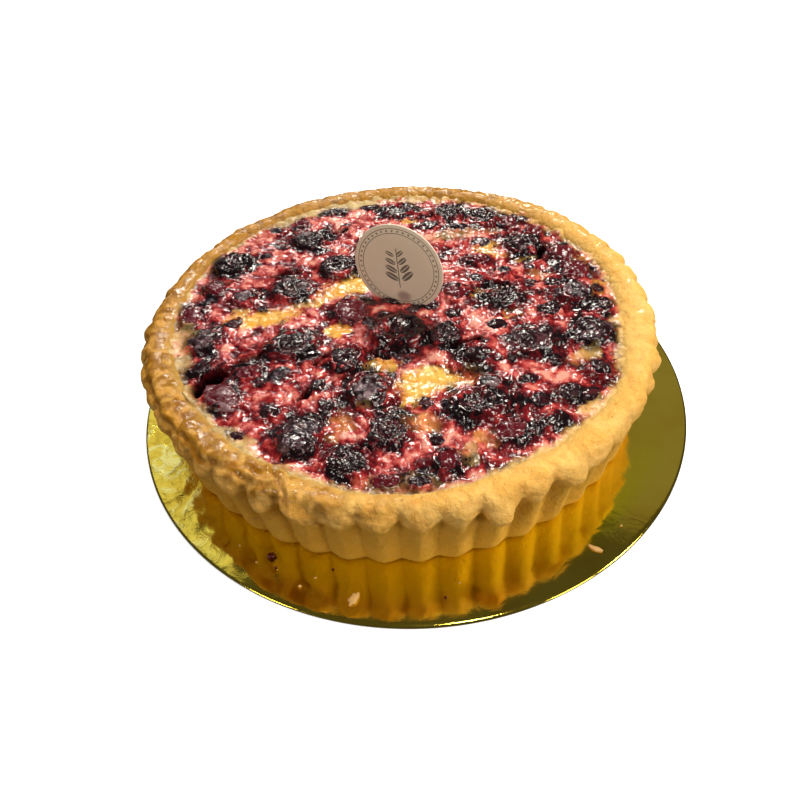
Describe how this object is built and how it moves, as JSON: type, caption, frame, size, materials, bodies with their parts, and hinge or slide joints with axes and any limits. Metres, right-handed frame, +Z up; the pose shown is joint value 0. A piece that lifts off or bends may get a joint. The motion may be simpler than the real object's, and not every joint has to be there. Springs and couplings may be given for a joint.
{
  "type": "clafoutis",
  "caption": "Round fluted shortcrust tart of baked custard with cherries and mixed berries, a small round card tag standing in it, on a thin gold foil cake card.",
  "frame": {"origin": "centre of the round cake card's underside", "axes": "+Z up; the picture looks from -Y, and +X is to its right"},
  "size_m": [0.2286, 0.2286, 0.0704],
  "materials": {
    "gold_foil": "thin crinkled gold foil, mirror bright",
    "baked_shortcrust": "golden baked shortcrust, glazed in places",
    "baked_custard": "glossy baked custard stained by berry juice",
    "tag_card": "matt beige card with a dark ring",
    "cherry_skin": "wrinkled near-black glazed cherry skin",
    "bramble_skin": "glazed near-black drupelets",
    "raspberry_skin": "glazed dark red drupelets",
    "blueberry_skin": "dull blue-black skin under thin glaze"
  },
  "bodies": {
    "root": {"cake_card": "gold_foil", "pastry_case": "baked_shortcrust", "custard": "baked_custard", "round_tag": "tag_card", "cherry_01": "cherry_skin", "cherry_02": "cherry_skin", "cherry_03": "cherry_skin", "cherry_04": "cherry_skin", "cherry_05": "cherry_skin", "cherry_06": "cherry_skin", "cherry_07": "cherry_skin", "cherry_08": "cherry_skin", "cherry_09": "cherry_skin", "cherry_10": "cherry_skin", "cherry_11": "cherry_skin", "cherry_12": "cherry_skin", "cherry_13": "cherry_skin", "cherry_14": "cherry_skin", "cherry_15": "cherry_skin", "cherry_16": "cherry_skin", "bramble_01": "bramble_skin", "bramble_02": "bramble_skin", "bramble_03": "bramble_skin", "bramble_04": "bramble_skin", "bramble_05": "bramble_skin", "bramble_06": "bramble_skin", "bramble_07": "bramble_skin", "bramble_08": "bramble_skin", "bramble_09": "bramble_skin", "bramble_10": "bramble_skin", "bramble_11": "bramble_skin", "bramble_12": "bramble_skin", "bramble_13": "bramble_skin", "bramble_14": "bramble_skin", "bramble_15": "bramble_skin", "raspberry_01": "raspberry_skin", "raspberry_02": "raspberry_skin", "raspberry_03": "raspberry_skin", "raspberry_04": "raspberry_skin", "raspberry_05": "raspberry_skin", "raspberry_06": "raspberry_skin", "raspberry_07": "raspberry_skin", "raspberry_08": "raspberry_skin", "raspberry_09": "raspberry_skin", "raspberry_10": "raspberry_skin", "raspberry_11": "raspberry_skin", "raspberry_12": "raspberry_skin", "raspberry_13": "raspberry_skin", "raspberry_14": "raspberry_skin", "raspberry_15": "raspberry_skin", "blueberry_01": "blueberry_skin", "blueberry_02": "blueberry_skin", "blueberry_03": "blueberry_skin", "blueberry_04": "blueberry_skin", "blueberry_05": "blueberry_skin", "blueberry_06": "blueberry_skin", "blueberry_07": "blueberry_skin"}
  },
  "joints": []
}
